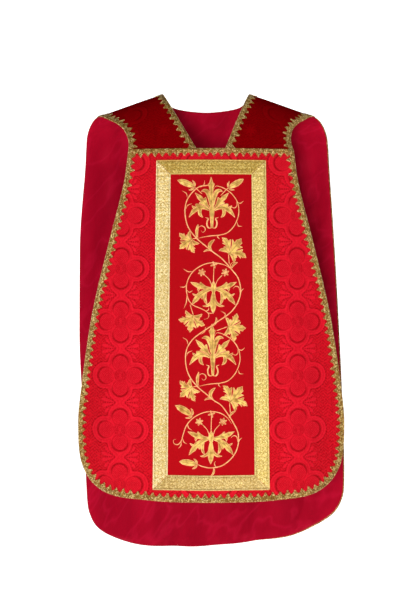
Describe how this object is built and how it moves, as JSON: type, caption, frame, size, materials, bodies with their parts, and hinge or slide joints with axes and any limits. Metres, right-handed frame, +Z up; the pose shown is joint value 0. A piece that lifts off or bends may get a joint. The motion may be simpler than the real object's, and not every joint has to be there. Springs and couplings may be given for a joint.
{
  "type": "chasuble",
  "caption": "Roman fiddleback chasuble of lined damask with embroidered orphreys, galloon frames and scalloped edge braid, hanging as worn",
  "frame": {"origin": "middle of the shoulder line, at the height of the shoulders beside the neck", "axes": "+Z up, the front of the garment faces -Y, +X to the right of someone looking at its front"},
  "size_m": [0.6922, 0.3536, 1.2329],
  "materials": {
    "damask": "figured damask, matt figure on a satin ground",
    "canvas": "plain stiff canvas",
    "lining_satin": "soft satin",
    "edge_braid": "gold metallic braid",
    "orphrey_ground": "plain ribbed silk",
    "galloon": "glittering gold woven ribbon",
    "gold_thread": "raised satin stitch in gold thread"
  },
  "bodies": {
    "shoulders": {"shoulder_cloth_left": "damask", "shoulder_cloth_right": "damask", "shoulder_interlining_left": "canvas", "shoulder_interlining_right": "canvas", "shoulder_lining_left": "lining_satin", "shoulder_lining_right": "lining_satin", "shoulder_armhole_braid_left": "edge_braid", "shoulder_armhole_braid_right": "edge_braid", "shoulder_neck_braid_left": "edge_braid", "shoulder_neck_braid_right": "edge_braid"},
    "front": {"front_cloth": "damask", "front_interlining": "canvas", "front_lining": "lining_satin", "front_edge_braid": "edge_braid", "chest_braid": "edge_braid", "front_orphrey_ground": "orphrey_ground", "front_galloon_left": "galloon", "front_galloon_right": "galloon", "front_galloon_top": "galloon", "front_galloon_bottom": "galloon", "front_embroidery_vine": "gold_thread", "front_embroidery_flowers": "gold_thread", "front_embroidery_leaves": "gold_thread"},
    "back": {"back_cloth": "damask", "back_interlining": "canvas", "back_lining": "lining_satin", "back_edge_braid": "edge_braid", "back_neck_braid": "edge_braid", "back_orphrey_ground": "orphrey_ground", "back_galloon_left": "galloon", "back_galloon_right": "galloon", "back_galloon_top": "galloon", "back_galloon_bottom": "galloon", "back_embroidery_vine": "gold_thread", "back_embroidery_flowers": "gold_thread", "back_embroidery_leaves": "gold_thread"}
  },
  "joints": [
    {"name": "front_lift", "type": "hinge", "parent": "shoulders", "child": "front", "pos_m": [0, -0.121, -0.161], "axis": [-1, 0, 0], "range_deg": [0, 40]},
    {"name": "back_lift", "type": "hinge", "parent": "shoulders", "child": "back", "pos_m": [0, 0.015, 0.002], "axis": [1, 0, 0], "range_deg": [0, 30]}
  ]
}
